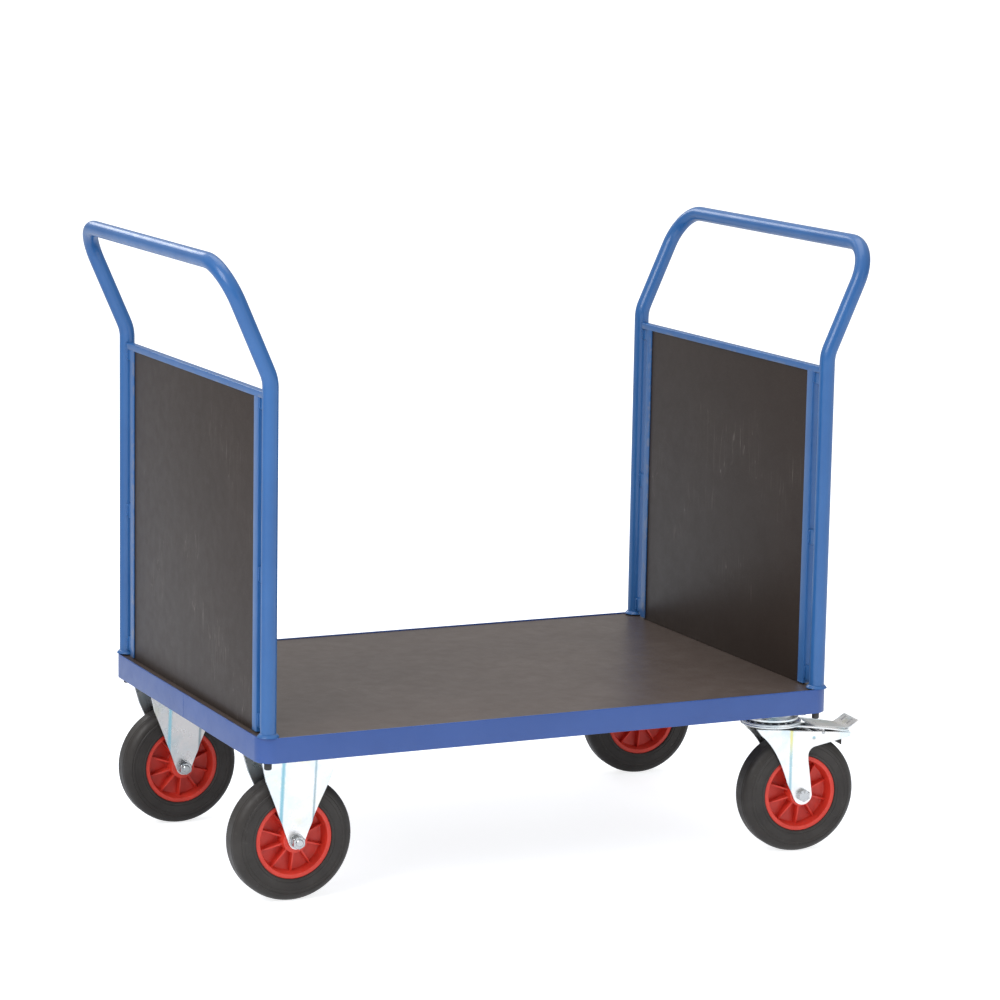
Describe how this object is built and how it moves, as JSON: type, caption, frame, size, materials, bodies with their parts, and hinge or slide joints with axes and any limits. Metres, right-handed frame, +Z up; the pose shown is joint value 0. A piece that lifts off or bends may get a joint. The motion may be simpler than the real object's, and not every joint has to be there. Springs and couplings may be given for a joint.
{
  "type": "platform truck",
  "caption": "Double-ended platform truck with a plywood deck, panelled plug-in ends with push bars, fixed castors at one end and braked swivel castors at the other.",
  "frame": {"origin": "on the floor, under the middle of the platform", "axes": "+X towards the swivel castors, along the platform's length; +Y towards the far side; +Z up"},
  "size_m": [1.144, 0.6834, 1.0165],
  "materials": {
    "blue_paint": "semi-gloss powder coat",
    "deck_panel": "brown phenolic-faced plywood, scuffed",
    "end_panel": "brown phenolic-faced plywood",
    "tyre": "black solid rubber, dull",
    "wheel_centre": "moulded red plastic",
    "bush": "natural nylon",
    "spigot_cap": "black moulded cap",
    "brake_shoe": "black rubber pad",
    "zinc_plain": "bright zinc plate",
    "zinc_fastener": "bright zinc plate",
    "zinc_pressing": "blue passivated zinc plate",
    "race_ball": "polished"
  },
  "bodies": {
    "chassis": {"chassis_rim": "blue_paint", "cross_tubes": "blue_paint", "castor_pads": "blue_paint", "corner_sockets": "blue_paint", "deck_panel": "deck_panel", "deck_screws": "zinc_fastener", "castor_bolts": "zinc_fastener", "castor_nuts": "zinc_fastener", "fixed_near_fork": "zinc_pressing", "fixed_near_axle_bolt": "zinc_fastener", "fixed_near_axle_nut": "zinc_fastener", "swivel_near_top_plate": "zinc_pressing", "swivel_near_kingpin": "zinc_fastener", "swivel_near_race_balls": "race_ball", "fixed_far_fork": "zinc_pressing", "fixed_far_axle_bolt": "zinc_fastener", "fixed_far_axle_nut": "zinc_fastener", "swivel_far_top_plate": "zinc_pressing", "swivel_far_kingpin": "zinc_fastener", "swivel_far_race_balls": "race_ball"},
    "left_end": {"left_end_tube": "blue_paint", "left_post_collars": "blue_paint", "left_panel_frame": "blue_paint", "left_end_panel": "end_panel", "left_spigots": "zinc_plain", "left_spigot_caps": "spigot_cap"},
    "right_end": {"right_end_tube": "blue_paint", "right_post_collars": "blue_paint", "right_panel_frame": "blue_paint", "right_end_panel": "end_panel", "right_spigots": "zinc_plain", "right_spigot_caps": "spigot_cap"},
    "fixed_near_wheel": {"fixed_near_bush": "bush", "fixed_near_wheel_centre": "wheel_centre", "fixed_near_tyre": "tyre"},
    "fixed_far_wheel": {"fixed_far_bush": "bush", "fixed_far_wheel_centre": "wheel_centre", "fixed_far_tyre": "tyre"},
    "swivel_near_fork": {"swivel_near_fork": "zinc_pressing", "swivel_near_brake_pin": "zinc_fastener", "swivel_near_axle_bolt": "zinc_fastener", "swivel_near_axle_nut": "zinc_fastener"},
    "swivel_near_brake": {"swivel_near_brake_pedal": "zinc_pressing", "swivel_near_brake_shoe": "brake_shoe"},
    "swivel_near_wheel": {"swivel_near_bush": "bush", "swivel_near_wheel_centre": "wheel_centre", "swivel_near_tyre": "tyre"},
    "swivel_far_fork": {"swivel_far_fork": "zinc_pressing", "swivel_far_brake_pin": "zinc_fastener", "swivel_far_axle_bolt": "zinc_fastener", "swivel_far_axle_nut": "zinc_fastener"},
    "swivel_far_brake": {"swivel_far_brake_pedal": "zinc_pressing", "swivel_far_brake_shoe": "brake_shoe"},
    "swivel_far_wheel": {"swivel_far_bush": "bush", "swivel_far_wheel_centre": "wheel_centre", "swivel_far_tyre": "tyre"}
  },
  "joints": [
    {"name": "left_end_lift", "type": "slide", "parent": "chassis", "child": "left_end", "axis": [0, 0, 1], "range_m": [0, 0.06]},
    {"name": "right_end_lift", "type": "slide", "parent": "chassis", "child": "right_end", "axis": [0, 0, 1], "range_m": [0, 0.06]},
    {"name": "fixed_near_wheel_spin", "type": "hinge", "parent": "chassis", "child": "fixed_near_wheel", "pos_m": [-0.418, -0.253, 0.1], "axis": [0, 1, 0], "continuous": true},
    {"name": "fixed_far_wheel_spin", "type": "hinge", "parent": "chassis", "child": "fixed_far_wheel", "pos_m": [-0.418, 0.253, 0.1], "axis": [0, 1, 0], "continuous": true},
    {"name": "swivel_near_swivel", "type": "hinge", "parent": "chassis", "child": "swivel_near_fork", "pos_m": [0.421, -0.284, 0.2], "axis": [0, 0, 1], "continuous": true},
    {"name": "swivel_near_wheel_spin", "type": "hinge", "parent": "swivel_near_fork", "child": "swivel_near_wheel", "pos_m": [0.46682, -0.28801, 0.1], "axis": [0.0872, 0.9962, 0], "continuous": true},
    {"name": "swivel_near_brake_press", "type": "hinge", "parent": "swivel_near_fork", "child": "swivel_near_brake", "pos_m": [0.5007, -0.29097, 0.203], "axis": [0.0872, 0.9962, 0], "range_deg": [0, 7.5]},
    {"name": "swivel_far_swivel", "type": "hinge", "parent": "chassis", "child": "swivel_far_fork", "pos_m": [0.421, 0.284, 0.2], "axis": [0, 0, 1], "continuous": true},
    {"name": "swivel_far_wheel_spin", "type": "hinge", "parent": "swivel_far_fork", "child": "swivel_far_wheel", "pos_m": [0.46682, 0.27999, 0.1], "axis": [0.0872, 0.9962, 0], "continuous": true},
    {"name": "swivel_far_brake_press", "type": "hinge", "parent": "swivel_far_fork", "child": "swivel_far_brake", "pos_m": [0.5007, 0.27703, 0.203], "axis": [0.0872, 0.9962, 0], "range_deg": [0, 7.5]}
  ]
}
